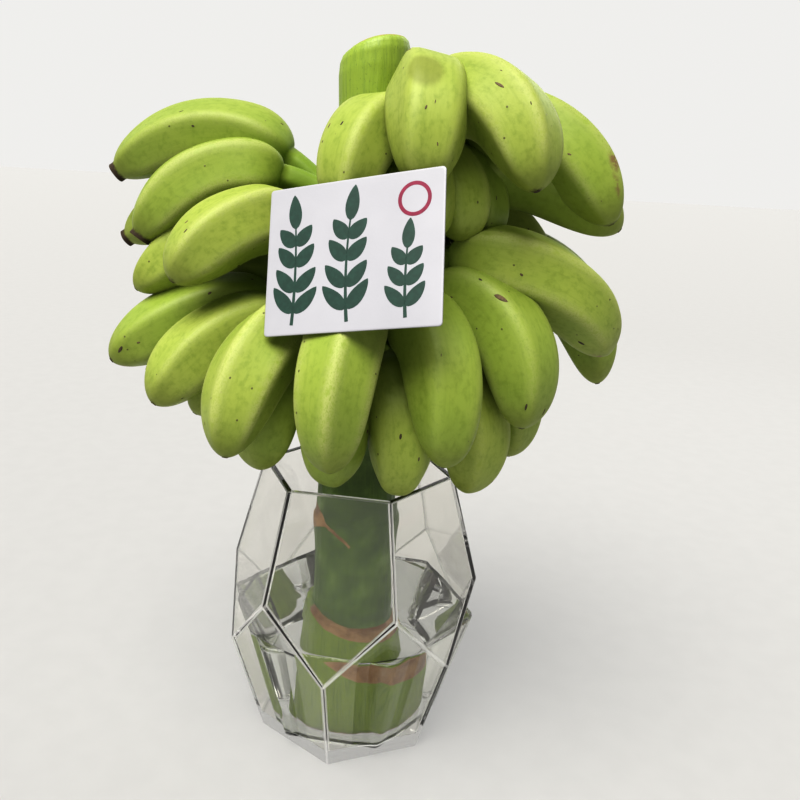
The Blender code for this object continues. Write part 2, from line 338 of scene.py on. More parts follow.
fingerShape = dict(
    rootRadius=20 * mm, rootDepth=9 * mm, stalkAxis=(0, 4 * mm), columns=45,
    neckWidth=0.36, shoulderStart=0.235, shoulderEnd=0.43, shoulderTurn=2.4, shoulderPower=0.7,
    taperStart=0.52, roundTip=3.0, tipPower=0.59, rootFlare=0.12, rootFlareEnd=0.06,
    nub=0.075, darkNub=0.30, nubRings=(0.9, 0.68, 0.36),
    lumps=0.012, sideways=0.96, roundness=4.0, ridgeGain=1.3, pathSteps=140,
)

# Fingers that end in a dark dry nub: hand and which finger.
darkTips = [("middle", 0), ("middle", 1), ("middle", 4)]

# Bruised patches: hand, which finger, place along it, degrees round it, length share, degrees wide,
# and depth, which is olive above zero and brown below it.
bruises = [
    ("topFront", 1, 0.62, -8, 0.06, 26, 1.3),
    ("topFront", 3, 0.80, -28, 0.035, 12, -1.0),
    ("topFront", 3, 0.88, -40, 0.05, 9, -0.7),
    ("lowFront", 5, 0.40, 25, 0.016, 11, -0.8),
    ("lowFront", 6, 0.965, 190, 0.03, 30, -0.9),
    ("lowFront", 0, 0.97, 150, 0.03, 30, -0.7),
]


def backFingers(rows, rng):
    fingers = []
    for first, last, count, startClimb, endClimb, height, length, radius in rows:
        for angle in np.linspace(first, last, count):
            lean = rng.uniform(-3, 3)
            fingers.append((
                angle, angle, angle + lean, startClimb, endClimb + 2 * lean, height,
                length * rng.uniform(0.97, 1.0), radius, rng.uniform(-36, 36), rng.uniform(6, 11),
            ))
    return fingers


# Width along a finger: a level neck, a round shoulder and a round end. At either end the width is one
# minus a power of the share of the way, all to another power. A small nub stands at the tip, and the
# root flares out where it meets the stalk.
def girthAlong(share, nub):
    s = fingerShape
    early = np.clip((share - s["shoulderStart"]) / (s["shoulderEnd"] - s["shoulderStart"]), 0, 1)
    rounded = (1 - (1 - early) ** s["shoulderTurn"]) ** s["shoulderPower"]
    body = s["neckWidth"] + (1 - s["neckWidth"]) * rounded
    late = np.clip((share - s["taperStart"]) / (1 - s["taperStart"]), 0, 1)
    flare = s["rootFlare"] * ease((s["rootFlareEnd"] - share) / s["rootFlareEnd"])
    return np.maximum(body * (1 - late ** s["roundTip"]) ** s["tipPower"], nub) + flare


# Outline across a finger: its radius at an angle is one over the p-norm of the cosines of the angles
# to five flats, so a high p gives a five-sided outline with sharp ridges and a low p a round one.
def ridgedOutline(turn, sharpness):
    flats = np.radians(36 + 72 * np.arange(5))
    reach = np.clip(np.cos(turn[..., None] - flats), 0, 1) ** sharpness[..., None]
    corner = (2 * math.cos(math.radians(36)) ** sharpness) ** (-1 / sharpness)
    return reach.sum(-1) ** (-1 / sharpness) / corner


# A finger: rings carried along a path. The path's heading turns from one direction to another by a
# smooth step of the length. Slow waves of the angle and the length make the body a little uneven.
def buildFinger(finger, rng, marks, nub):
    rootAngle, startAngle, endAngle, startClimb, endClimb, height, length, radius, twist, sharp = finger
    s = fingerShape
    steps = s["pathSteps"]
    bend = ease((np.arange(steps) + 0.5) / steps)
    strides = heading(startAngle + (endAngle - startAngle) * bend,
                      startClimb + (endClimb - startClimb) * bend)
    root = np.array([*s["stalkAxis"], height * mm]) + s["rootRadius"] * heading(rootAngle, 0.0)
    path = np.concatenate([[root], root + np.cumsum(strides, 0) * length * mm / steps])
    share = np.concatenate([
        np.linspace(0, 0.2, 6), [0.235, 0.238, 0.243, 0.250, 0.260], np.linspace(0.275, 0.40, 9),
        np.linspace(0.425, 0.85, 20), np.linspace(0.865, 0.945, 7),
        [0.958, 0.968, 0.976, 0.983, 0.988, 0.992, 0.995, 0.998],
        [1.0, 1.004, 1.007, 1.008],
    ])  # rings stand closest at the shoulder and at the tip
    centres = np.stack([np.interp(share, np.linspace(0, 1, steps + 1), path[:, k]) for k in range(3)], -1)
    centres[0] -= s["rootDepth"] * heading(rootAngle, 0.0)
    angle = startAngle + (endAngle - startAngle) * ease(share)
    climb = startClimb + (endClimb - startClimb) * ease(share)
    forward, side = heading(angle, climb), heading(angle + 90, 0 * climb)
    outward = np.cross(forward, side)
    turn = np.linspace(0, 2 * np.pi, s["columns"], endpoint=False)[None, :] + 0 * share[:, None]
    ridgeTurn = turn - math.radians(twist)
    middle = ease((share - 0.15) / 0.25) * ease((1.0 - share) / 0.16)
    sharpness = s["roundness"] + (s["ridgeGain"] * sharp - s["roundness"]) * middle
    outline = ridgedOutline(ridgeTurn, np.broadcast_to(sharpness[:, None], turn.shape))
    waves = rng.uniform(0, 2 * np.pi, 4)
    lump = s["lumps"] * (
        np.sin(turn + 5 * share[:, None] + waves[0])
        + np.sin(2 * turn - 9 * share[:, None] + waves[1])
        + 0.6 * np.sin(3 * turn + 16 * share[:, None] + waves[2]))
    girth = radius * mm * girthAlong(share, nub)
    girth[-3:] *= s["nubRings"]
    reach = girth[:, None] * outline * (1 + lump * middle[:, None])
    grid = (centres[:, None] + (reach * np.cos(turn))[..., None] * outward[:, None]
            + s["sideways"] * (reach * np.sin(turn))[..., None] * side[:, None])
    crest = np.abs(np.cos(2.5 * ridgeTurn)) ** 8 * middle[:, None] * np.clip((sharp - 5) / 7, 0.1, 1)
    bruise = 0 * turn
    for _, _, markShare, markTurn, markLength, markWidth, depth in marks:
        apart = (turn - math.radians(markTurn) + np.pi) % (2 * np.pi) - np.pi
        along = (share[:, None] - markShare) / markLength
        bruise += depth * np.exp(-along ** 2 - (apart / math.radians(markWidth)) ** 2)
    depthAlong = (share * length * mm)[:, None] + 0 * turn
    local = np.stack([reach * np.cos(turn), reach * np.sin(turn), depthAlong], -1)
    local = local + rng.uniform(0, 3, 3)
    values = {
        "along": (share[:, None] + 0 * turn).ravel(), "crest": crest.ravel(), "bruise": bruise.ravel(),
        "tone": np.full(turn.size, rng.uniform(0, 1)), "dryEnd": np.full(turn.size, nub / s["darkNub"]),
    }
    poles = {"along": [0, 1], "crest": [0, 0], "bruise": [0, 0], "tone": [values["tone"][0]] * 2,
             "dryEnd": [values["dryEnd"][0]] * 2}
    values = {key: np.concatenate([values[key], poles[key]]) for key in values}
    values["skinPlace"] = np.concatenate([local.reshape(-1, 3), local[[0, -1]].mean(1)])
    return closedSkin(grid, grid[0].mean(0), grid[-1].mean(0)), values, grid, share


skinLook = dict(
    fresh=(0.265, 0.35, 0.06), ripe=(0.355, 0.42, 0.092), deep=(0.165, 0.24, 0.028),
    neck=(0.18, 0.275, 0.032), bloom=(0.47, 0.50, 0.20), olive=(0.19, 0.22, 0.035),
    tip=(0.05, 0.034, 0.02), speck=(0.075, 0.06, 0.02), corky=(0.20, 0.13, 0.055),
)


def makeSkinMaterial():
    look = skinLook
    material, tree, shader = newMaterial("green banana skin", look["ripe"], 0.5, Specular_IOR_Level=0.35)
    place = attribute(tree, "skinPlace", "Vector")
    along, crest = attribute(tree, "along"), attribute(tree, "crest")
    bruise, tone, dryEnd = (attribute(tree, key) for key in ("bruise", "tone", "dryEnd"))
    broad = noise(tree, place, 38, 2)
    mottle = noise(tree, place, 330, 4, 0.6)
    grain = noise(tree, place, 1500, 3)
    streak = noise(tree, stretch(tree, place, (1, 1, 0.1)), 700, 3)
    ripeness = plus(tree, times(tree, broad, 0.7), times(tree, tone, 0.45))
    colour = mixColour(tree, ramp(tree, ripeness, 0.25, 0.85), look["fresh"], look["ripe"])
    colour = mixColour(tree, times(tree, ramp(tree, mottle, 0.42, 0.75), 0.45), colour, look["deep"])
    colour = mixColour(tree, times(tree, ramp(tree, streak, 0.45, 0.75), 0.22), colour, look["deep"])
    worn = times(tree, ramp(tree, mottle, 0.25, 0.55), ramp(tree, grain, 0.15, 0.6))
    dusty = times(tree, crest, worn)
    colour = mixColour(tree, times(tree, dusty, 0.75), colour, look["bloom"])
    necky = ramp(tree, along, 0.30, 0.16)
    colour = mixColour(tree, times(tree, necky, 0.85), colour, look["neck"])
    old = ramp(tree, plus(tree, along, times(tree, mottle, 0.05)), 0.86, 1.02)
    colour = mixColour(tree, times(tree, old, 0.6), colour, look["olive"])
    bruised = times(tree, ramp(tree, bruise, 0.25, 0.7), 0.7)
    colour = mixColour(tree, bruised, colour, look["olive"])
    browned = times(tree, ramp(tree, bruise, -0.25, -0.75), ramp(tree, mottle, 0.35, 0.6))
    colour = mixColour(tree, browned, colour, look["corky"])
    cells = addNode(tree, "TexVoronoi", {"Vector": place, "Scale": 150.0})
    chosen = ramp(tree, addNode(tree, "SeparateColor", {0: cells.outputs["Color"]}).outputs[0], 0.60, 0.62)
    specks = times(tree, ramp(tree, cells.outputs["Distance"], 0.085, 0.045), chosen)
    colour = mixColour(tree, times(tree, specks, 0.8), colour, look["speck"])
    scuff = ramp(tree, noise(tree, place, 95, 6, 0.7), 0.70, 0.76)
    colour = mixColour(tree, times(tree, scuff, 0.6), colour, look["corky"])
    withered = plus(tree, along, times(tree, dryEnd, 0.026))
    dry = ramp(tree, plus(tree, withered, times(tree, mottle, 0.03)), 1.008, 1.026)
    colour = mixColour(tree, dry, colour, look["tip"])
    tree.links.new(colour, shader.inputs["Base Color"])
    rough = plus(tree, times(tree, mottle, 0.16), times(tree, dusty, 0.18))
    rough = plus(tree, rough, times(tree, dry, 0.35))
    tree.links.new(plus(tree, rough, 0.40), shader.inputs["Roughness"])
    fine = bump(tree, grain, 0.05 * mm, 0.5)
    waved = bump(tree, plus(tree, broad, times(tree, mottle, 0.25)), 0.8 * mm, 0.35, fine)
    pitted = bump(tree, plus(tree, specks, scuff), 0.12 * mm, 0.6, waved)
    tree.links.new(pitted, shader.inputs["Normal"])
    return material


skin = makeSkinMaterial()


# Old scratches: hand, which finger, place along it, degrees round it, its length and width in
# millimetres, how tan it is from 0 to 1, and its lean from the finger's length in degrees. The rest
# fall by chance.
scratches = [
    ("topFront", 1, 0.43, 330, 9, 1.6, 0.6, 10), ("topFront", 2, 0.63, 310, 4, 1.2, 0.4, 20),
    ("lowFront", 5, 0.54, 320, 5, 2.0, 0.5, 30), ("lowFront", 5, 0.89, 310, 3, 1.4, 0.1, -20),
    ("lowFront", 5, 0.92, 10, 3, 1.2, 0.1, 10), ("lowFront", 6, 0.85, 200, 4, 2.0, 0.1, 20),
    ("lowFront", 0, 0.93, 70, 4, 2.2, 0.1, 40),
]
scratchLook = dict(
    perFinger=8, smallest=0.6, largest=2.2, rise=0.1 * mm, sink=0.25 * mm, rows=11, endShare=0.985,
    across=(-1, -0.5, 0, 0.5, 1), dark=(0.045, 0.035, 0.015), tan=(0.30, 0.20, 0.10),
)


# A point on a finger's skin, between the rings and columns of its grid, by shares of the distances.
def onSkin(grid, ringShares, share, turn):
    row = np.clip(np.interp(share, ringShares, np.arange(len(grid))), 0, len(grid) - 1.001)
    column = turn / 360 * grid.shape[1] % grid.shape[1]
    low, left = row.astype(int), column.astype(int) % grid.shape[1]
    right = (left + 1) % grid.shape[1]
    down, over = (row - low)[..., None], (column - np.floor(column))[..., None]
    near = grid[low, left] * (1 - over) + grid[low, right] * over
    far = grid[low + 1, left] * (1 - over) + grid[low + 1, right] * over
    return near * (1 - down) + far * down


# A scratch: a closed lens on the skin, a little proud of it and sunk below it. Its half width is the
# full half width times a power of one less the square of the place along it.
def scratchSkin(grid, ringShares, length, radius, share, turn, scratchLength, width, lean):
    s = scratchLook
    place = np.linspace(-1, 1, s["rows"])
    half = width / 2 * (1 - (s["endShare"] * place) ** 2) ** 0.6
    tilt = math.radians(lean)
    run = place * scratchLength / 2
    aside = np.concatenate([s["across"], s["across"][::-1]]) * half[:, None]
    alongSkin = run[:, None] * math.cos(tilt) - aside * math.sin(tilt)
    roundSkin = run[:, None] * math.sin(tilt) + aside * math.cos(tilt)
    shares, turns = share + alongSkin / length, turn + np.degrees(roundSkin / radius)
    points = onSkin(grid, ringShares, shares, turns)
    quarters = [onSkin(grid, ringShares, shares, turns + quarter) for quarter in (0, 90, 180, 270)]
    outward = points - np.mean(quarters, 0)
    outward /= np.linalg.norm(outward, axis=-1, keepdims=True)
    lift = np.repeat([s["rise"], -s["sink"]], len(s["across"]))
    points = points + outward * lift[:, None]
    return closedSkin(points, points[0].mean(0), points[-1].mean(0))


def makeScratchMaterial():
    material, tree, shader = newMaterial("dry scratch", scratchLook["dark"], 0.7)
    tan = attribute(tree, "tan")
    patches = noise(tree, objectPlace(tree), 900, 4)
    colour = mixColour(tree, tan, scratchLook["dark"], scratchLook["tan"])
    colour = mixColour(tree, times(tree, ramp(tree, patches, 0.45, 0.65), 0.6), colour,
                       scratchLook["dark"])
    tree.links.new(colour, shader.inputs["Base Color"])
    return material


def addHand(name, fingers, rng, scratchRng, scratchSkins, scratchTans):
    made = []
    for k, finger in enumerate(fingers):
        marks = [mark for mark in bruises if mark[:2] == (name, k)]
        nub = fingerShape["darkNub" if (name, k) in darkTips else "nub"]
        skinOf, values, grid, ringShares = buildFinger(finger, rng, marks, nub)
        made.append((skinOf, values))
        given = [scratch[2:] for scratch in scratches if scratch[:2] == (name, k)]
        for _ in range(scratchLook["perFinger"]):
            size = scratchRng.uniform(scratchLook["smallest"], scratchLook["largest"])
            given.append((
                scratchRng.uniform(0.3, 0.93), scratchRng.uniform(0, 360), size,
                size * scratchRng.uniform(0.25, 0.7), scratchRng.uniform(0, 0.5),
                scratchRng.uniform(-40, 40),
            ))
        for share, turn, length, width, tan, lean in given:
            scratch = scratchSkin(grid, ringShares, finger[6], finger[7], share, turn, length, width, lean)
            scratchSkins.append(scratch)
            scratchTans.append({"tan": np.full(len(scratch[0]), tan)})
    hand = joinSkins(name + "Fingers", [skinOf for skinOf, _ in made], [values for _, values in made])
    finish(hand, "banana_bunch", skin)


def addFruit():
    rng, scratchRng = np.random.default_rng(11), np.random.default_rng(5)
    scratchSkins, scratchTans = [], []
    for name, fingers in hands.items():
        addHand(name, fingers, rng, scratchRng, scratchSkins, scratchTans)
    for name, rows in backHands.items():
        addHand(name, backFingers(rows, rng), rng, scratchRng, scratchSkins, scratchTans)
    marks = joinSkins("scratches", scratchSkins, scratchTans)
    finish(marks, "banana_bunch", makeScratchMaterial())


addFruit()
print("fingers made:", sum(len(rows) for rows in hands.values()), "placed and the rest round the back")


# Stalk.

# Rings of the stalk from the cut end up: height, lift of the raised side and radius, all in
# millimetres, then how much the skin is pale, and how much of the sheath's cut, of a cut end and of
# the leaf's scar it shows. The raised side is at liftAngle. The sheath's cut and the scar fade out
# at an angle from their middle.
stalkShape = dict(
    liftAngle=262, columns=96, axis=(0, 4 * mm), fibres=26, fibreDepth=0.006,
    cutAngle=40, cutWidth=115,
    scarStart=-95, scarEnd=-4, scarHeight=118, scarFall=9, scarDepth=8, scarTail=0.9,
    rings=[
        (9.3, 0, 22.0, 1, 0, 0.6, 0), (9.5, 0, 26.6, 1, 0, 0.5, 0), (11.5, 0, 27.8, 1, 0, 0, 0),
        (22, 3, 27.0, 1, 0, 0, 0), (36, 8, 26.2, 1, 0, 0, 0), (46, 12, 25.8, 1, 0, 0, 0),
        (52.5, 14, 25.4, 1, 0, 0, 0), (53.5, 14, 25.0, 1, 0.3, 0, 0), (54.5, 13.5, 24.4, 1, 1, 0, 0),
        (60, 8.5, 22.2, 0.3, 1, 0, 0), (60.8, 8, 21.8, 0, 0.6, 0, 0), (62, 8, 21.5, 0, 0, 0, 0),
        (82, 3, 21.2, 0, 0, 0, 0), (98, 0, 21.2, 0, 0, 0, 0), (104, 0, 21.4, 0, 0, 0, 1),
        (110, 0, 21.9, 0, 0, 0, 1), (114, 0, 22.3, 0, 0, 0, 1), (117.5, 0, 22.1, 0, 0, 0, 1),
        (119.5, 0, 20.9, 0, 0, 0, 1),
        (126, 0, 20.5, 0, 0, 0, 1), (150, 0, 19.8, 0, 0, 0, 0), (200, 0, 18.5, 0, 0, 0, 0),
        (300, 0, 16.1, 0.6, 0, 0, 0), (325, -1, 16.2, 1, 0, 0, 0), (338, -3, 16.6, 1, 0, 0, 0),
        (344, -4, 16.2, 1, 0, 0, 0), (347, -4.3, 15.2, 1, 0, 0, 0), (348.6, -4.4, 13.4, 1, 0, 0.4, 0),
        (348.6, -4.4, 12.2, 1, 0, 1, 0), (347.8, -4.4, 6.0, 1, 0, 1, 0),
    ],
)


# The stalk: rings round an upright axis, with rows drawn straight from one given ring to the next.
# A ring is raised on one side by its lift times twice the square of half of one plus the cosine of
# the angle from that side, less one. A sine of the angle makes shallow fibres.
def buildStalk():
    s = stalkShape
    given = np.array(s["rings"], float)
    counts = np.clip((np.diff(given[:, 0]) / 1.0).astype(int), 2, 14)
    knots = np.concatenate([np.linspace(k, k + 1, count, endpoint=False) for k, count in enumerate(counts)]
                           + [[len(given) - 1]])
    rows = np.stack([np.interp(knots, np.arange(len(given)), given[:, k]) for k in range(7)], -1)
    turn = np.linspace(0, 2 * np.pi, s["columns"], endpoint=False)
    raised = 2 * ((1 + np.cos(turn - math.radians(s["liftAngle"]))) / 2)[None, :] ** 2 - 1
    height = (rows[:, 0, None] + rows[:, 1, None] * raised) * mm
    uneven = 1 + s["fibreDepth"] * np.sin(s["fibres"] * turn + 3 * np.sin(height * 30))
    uneven = uneven + 0.012 * np.sin(2 * turn + height * 25) + 0.008 * np.sin(3 * turn - height * 60 + 1)
    radius = rows[:, 2, None] * mm * uneven
    grid = np.stack([s["axis"][0] + radius * np.sin(turn), s["axis"][1] - radius * np.cos(turn),
                     height + 0 * radius], -1)
    apart = (np.degrees(turn) - s["cutAngle"] + 180) % 360 - 180
    window = ease((s["cutWidth"] - np.abs(apart)) / 20)[None, :]
    scarShare = ((np.degrees(turn) - s["scarStart"]) % 360 / (s["scarEnd"] - s["scarStart"]))[None, :]
    scarWidth = s["scarDepth"] * np.clip(1 - scarShare / 0.55, 0, 1) ** 0.8 + s["scarTail"]
    scarMiddle = s["scarHeight"] - s["scarFall"] * (scarShare - 0.35) ** 2 * 3
    scar = ease(1.5 - np.abs(height / mm - scarMiddle) / scarWidth) * (scarShare < 1)
    pale = rows[:, 3, None] + 0 * turn
    cut = np.maximum(np.maximum(rows[:, 4, None] * window, rows[:, 5, None]), rows[:, 6, None] * scar)
    values = {"pale": np.concatenate([pale.ravel(), pale[[0, -1], 0]]),
              "cut": np.concatenate([cut.ravel(), cut[[0, -1], 0]])}
    skinOf = closedSkin(grid, grid[0].mean(0), grid[-1].mean(0) - [0, 0, 0.3 * mm])
    return skinOf, values


# Swollen band where a hand grows out: first and last angle, and the height there in millimetres.
crownShape = dict(
    reach=17 * mm, radius=9 * mm, columns=24, bands=[
        (-88, 272, 222, 228), (-120, -55, 292, 272), (125, 235, 276, 276), (-18, 125, 290, 296)],
)


# A crown: rings carried round the stalk, whose radius swells and shrinks with the angle where the
# necks join, and falls to nothing at both ends by the root of a sine.
def buildCrown(firstAngle, lastAngle, firstHeight, lastHeight):
    s = crownShape
    rows = max(12, int((lastAngle - firstAngle) / 4))
    share = np.linspace(0, 1, rows)
    angle = firstAngle + (lastAngle - firstAngle) * share
    centre = s["reach"] * heading(angle, 0 * angle)
    centre[:, 0] += stalkShape["axis"][0]
    centre[:, 1] += stalkShape["axis"][1]
    centre[:, 2] = (firstHeight + (lastHeight - firstHeight) * share) * mm
    turn = np.linspace(0, 2 * np.pi, s["columns"], endpoint=False)[None, :]
    ends = np.clip(np.sin(np.pi * share) * 4, 0.05, 1)[:, None] ** 0.5
    swell = 0.07 * np.sin(np.radians(angle) * 15)[:, None] + 0.05 * np.sin(3 * turn)
    radius = s["radius"] * ends * (1 + swell)
    out, up = heading(angle, 0 * angle)[:, None], np.array([0, 0, 1.0])
    grid = (centre[:, None] + (radius * np.cos(turn))[..., None] * out
            + (radius * np.sin(turn))[..., None] * up)
    count = grid.shape[0] * grid.shape[1] + 2
    values = {"pale": np.full(count, 0.6), "cut": np.zeros(count)}
    return closedSkin(grid, grid[0].mean(0), grid[-1].mean(0)), values


stalkLook = dict(
    dusty=(0.26, 0.37, 0.13), green=(0.15, 0.245, 0.045), dark=(0.08, 0.14, 0.028), pale=(0.31, 0.42, 0.06),
    cut=(0.55, 0.33, 0.15), cutDark=(0.30, 0.15, 0.06),
)


def makeStalkMaterial():
    look = stalkLook
    material, tree, shader = newMaterial("banana stalk", look["green"], 0.45)
    place = objectPlace(tree)
    pale, cut = attribute(tree, "pale"), attribute(tree, "cut")
    patches = noise(tree, place, 60, 4, 0.6)
    fibres = noise(tree, stretch(tree, place, (1, 1, 0.06)), 900, 4)
    dots = noise(tree, stretch(tree, place, (1, 1, 0.5)), 1400, 2)
    colour = mixColour(tree, ramp(tree, patches, 0.35, 0.68), look["dark"], look["green"])
    colour = mixColour(tree, times(tree, ramp(tree, patches, 0.58, 0.72), 0.6), colour, look["dusty"])
    colour = mixColour(tree, pale, colour, look["pale"])
    colour = mixColour(tree, times(tree, ramp(tree, fibres, 0.45, 0.7), 0.35), colour, look["green"])
    colour = mixColour(tree, times(tree, ramp(tree, dots, 0.62, 0.70), 0.35), colour, look["dark"])
    face = mixColour(tree, ramp(tree, patches, 0.4, 0.65), look["cut"], look["cutDark"])
    edge = plus(tree, cut, times(tree, calc(tree, "SUBTRACT", fibres, 0.5), 0.5))
    colour = mixColour(tree, ramp(tree, edge, 0.25, 0.55), colour, face)
    tree.links.new(colour, shader.inputs["Base Color"])
    tree.links.new(plus(tree, times(tree, fibres, 0.3), 0.3), shader.inputs["Roughness"])
    ribbed = bump(tree, fibres, 0.35 * mm, 0.5)
    tree.links.new(bump(tree, patches, 1.0 * mm, 0.4, ribbed), shader.inputs["Normal"])
    return material


def addStalk():
    made = [buildStalk()] + [buildCrown(*band) for band in crownShape["bands"]]
    stalk = joinSkins("stalk", [skinOf for skinOf, _ in made], [values for _, values in made])
    finish(stalk, "banana_bunch", makeStalkMaterial())


addStalk()
print("stalk made")


# Vase and water.

vaseShape = dict(
    height=145 * mm, upperBelt=90 * mm, lowerBelt=55.5 * mm, mouthRadius=50.5 * mm, footRadius=48.5 * mm,
    turn=-41, wall=3 * mm, floor=9 * mm, edge=0.65 * mm, edgeSteps=3, edgeAngle=10,
)


# Radii of the vase's two belts. They are solved so that every five-sided side facet is flat: the
# middle of each hexagon's side lies on the line between the corners above and below it.
def beltRadii():
    s = vaseShape
    across = math.cos(math.pi / 6)
    gap = s["upperBelt"] - s["lowerBelt"]
    above, below = gap / (s["height"] - s["upperBelt"]), gap / s["lowerBelt"]
    unknowns = np.array([[across * (1 + above), -1.0], [-1.0, across * (1 + below)]])
    knowns = np.array([across * above * s["mouthRadius"], across * below * s["footRadius"]])
    return np.linalg.solve(unknowns, knowns)


def hexagon(height, radius, offset):
    turn = math.radians(vaseShape["turn"]) + (np.arange(6) + offset) * math.pi / 3
    return np.stack([radius * np.sin(turn), -radius * np.cos(turn), height + 0 * turn], -1)


# Corners of the faceted body, drawn in by a wall and cut off at a floor: foot, lower belt, upper
# belt and mouth, six corners each.
def facetedCorners(inset, floor):
    s = vaseShape
    upper, lower = beltRadii()
    shrink = inset / math.cos(math.pi / 6)
    slope = (lower - s["footRadius"]) / s["lowerBelt"]
    return np.concatenate([
        hexagon(floor, s["footRadius"] + slope * floor - shrink, 0.5),
        hexagon(s["lowerBelt"], lower - shrink, 0.5),
        hexagon(s["upperBelt"], upper - shrink, 0),
        hexagon(s["height"], s["mouthRadius"] - shrink, 0),
    ])


# The nearly white edge colour and the lower edge clearness make the bevelled edges partly opaque white: a
# painted highlight along the glass edges.
vaseLook = dict(body=(0.95, 0.942, 0.915), clearness=0.992, edge=(0.95, 0.95, 0.94), edgeHighlightClearness=0.6)


def makeGlassMaterial():
    material, tree, shader = newMaterial("clear pressed glass", vaseLook["body"], 0.0, IOR=1.5,
                                         Transmission_Weight=vaseLook["clearness"])
    swirl = noise(tree, objectPlace(tree), 45, 2)
    tree.links.new(bump(tree, swirl, 0.6 * mm, 0.12), shader.inputs["Normal"])
    smear = noise(tree, objectPlace(tree), 120, 5)
    tree.links.new(times(tree, ramp(tree, smear, 0.5, 0.8), 0.06), shader.inputs["Roughness"])
    return material


# The bevelled edges are partly white and less clear than the body: a painted highlight, so that they show as
# bright lines.
def makeEdgeHighlightMaterial():
    material, tree, shader = newMaterial("glass edge with painted highlight", vaseLook["edge"], 0.12, IOR=1.5,
                                         Transmission_Weight=vaseLook["edgeHighlightClearness"])
    worn = noise(tree, objectPlace(tree), 260, 4)
    tree.links.new(plus(tree, times(tree, worn, 0.2), 0.05), shader.inputs["Roughness"])
    return material


def addVase():
    k = np.arange(6)
    after, before = (k + 1) % 6, (k - 1) % 6
    foot, lower, upper, mouth = k, 6 + k, 12 + k, 18 + k
    sides = np.concatenate([
        np.stack([mouth[k], upper[k], lower[k], upper[after], mouth[after]], -1),
        np.stack([foot[before], foot[k], lower[k], upper[k], lower[before]], -1)])
    points = np.concatenate([facetedCorners(0, 0), facetedCorners(vaseShape["wall"], vaseShape["floor"])])
    rim = np.stack([mouth, mouth[after], 24 + mouth[after], 24 + mouth], -1)
    bases = np.stack([foot[::-1], 24 + foot])
    vase = addObject("glassVase", points, [sides, 24 + sides[:, ::-1], rim, bases])
    bevel = vase.modifiers.new("edges", "BEVEL")
    bevel.width, bevel.segments = vaseShape["edge"], vaseShape["edgeSteps"]
    bevel.limit_method, bevel.angle_limit = "ANGLE", math.radians(vaseShape["edgeAngle"])
    bevel.harden_normals = True
    finish(vase, "glass_vase", makeGlassMaterial())
    # The bevel's faces take the second material, the painted highlight along the edges.
    vase.data.materials.append(makeEdgeHighlightMaterial())
    bevel.material = 1


waterShape = dict(
    level=67 * mm, columns=120, overlap=0.3 * mm, climb=1.3 * mm, reach=1.6 * mm, stalkRadius=25.5 * mm,
    awayFromGlass=(0, 0.3, 0.7, 1.2, 2, 3, 5, 8, 12, 16, 22, 28, 34), colour=(0.97, 0.99, 0.98),
)


# Water: a six-sided body that fills the foot of the vase. Its outline is the hexagon sampled along
# its sides. The surface climbs by an exponential of the distance to the glass and to the stalk.
def addWater():
    s = waterShape
    _, lower = beltRadii()
    slope = (lower - vaseShape["footRadius"]) / vaseShape["lowerBelt"]
    turn = np.linspace(0, 2 * np.pi, s["columns"], endpoint=False)
    corner = (turn - math.radians(vaseShape["turn"]) - math.pi / 6) % (math.pi / 3) - math.pi / 6
    outline = math.cos(math.pi / 6) / np.cos(math.pi / 6 - np.abs(corner))

    def wallRadius(height):
        inset = (vaseShape["wall"] - s["overlap"]) / math.cos(math.pi / 6)
        return vaseShape["footRadius"] + slope * height - inset

    low = vaseShape["floor"] - s["overlap"]
    walls = [(low, 0.2), (low, 0.7), (low, 1.0), (low + 0.01 * mm, 1.0), (20 * mm, 1.0),
             (s["level"] - 2 * mm, 1.0)]
    heights = [height + 0 * turn for height, _ in walls]
    radii = [wallRadius(height) * outline * share for height, share in walls]
    top = wallRadius(s["level"]) * outline
    for away in np.array(s["awayFromGlass"]) * mm:
        radius = top - away
        nearStalk = np.clip(radius - s["stalkRadius"], 0, None)
        rise = np.exp(-away / s["reach"]) + np.exp(-nearStalk / s["reach"])
        heights.append(s["level"] + s["climb"] * rise)
        radii.append(radius)
    heights, radii = np.array(heights), np.array(radii)
    grid = np.stack([radii * np.sin(turn), -radii * np.cos(turn), heights], -1)
    skinOf = closedSkin(grid, np.array([0, 0, low]), np.array([0, 0, s["level"] + s["climb"]]))
    water = joinSkins("vaseWater", [skinOf])
    material, tree, shader = newMaterial("still water", s["colour"], 0.0, Transmission_Weight=1.0,
                                         IOR=1.333)
    ripple = noise(tree, objectPlace(tree), 40, 2)
    tree.links.new(bump(tree, ripple, 0.4 * mm, 0.1), shader.inputs["Normal"])
    finish(water, "water", material)


addVase()
addWater()
print("vase and water made")


# Card.

cardShape = dict(
    width=78 * mm, height=62 * mm, thickness=0.8 * mm, corner=1.5 * mm, bow=0.4 * mm,
    centre=(-6 * mm, -77 * mm, 261.5 * mm), lean=-20, roll=-11, yaw=-29,
    colour=(0.45, 0.452, 0.49), lighter=(0.46, 0.462, 0.50), darker=(0.43, 0.432, 0.47),
)


def cardMatrix():
    lean, roll, yaw = (math.radians(cardShape[key]) for key in ("lean", "roll", "yaw"))
    aboutX = np.array([[1, 0, 0], [0, math.cos(lean), -math.sin(lean)], [0, math.sin(lean), math.cos(lean)]])
    aboutY = np.array([[math.cos(roll), 0, math.sin(roll)], [0, 1, 0], [-math.sin(roll), 0, math.cos(roll)]])
    aboutZ = np.array([[math.cos(yaw), -math.sin(yaw), 0], [math.sin(yaw), math.cos(yaw), 0], [0, 0, 1]])
    return aboutZ @ aboutX @ aboutY


# Puts points given as across, outwards and up on the card into the scene. The card bows backwards by
# the square of the distance from its upright middle line.
def onCard(points):
    s = cardShape
    bowed = np.array(points, float)
    bowed[..., 1] += s["bow"] * (bowed[..., 0] / (s["width"] / 2)) ** 2 - s["bow"] / 2
    return bowed @ cardMatrix().T + np.array(s["centre"])


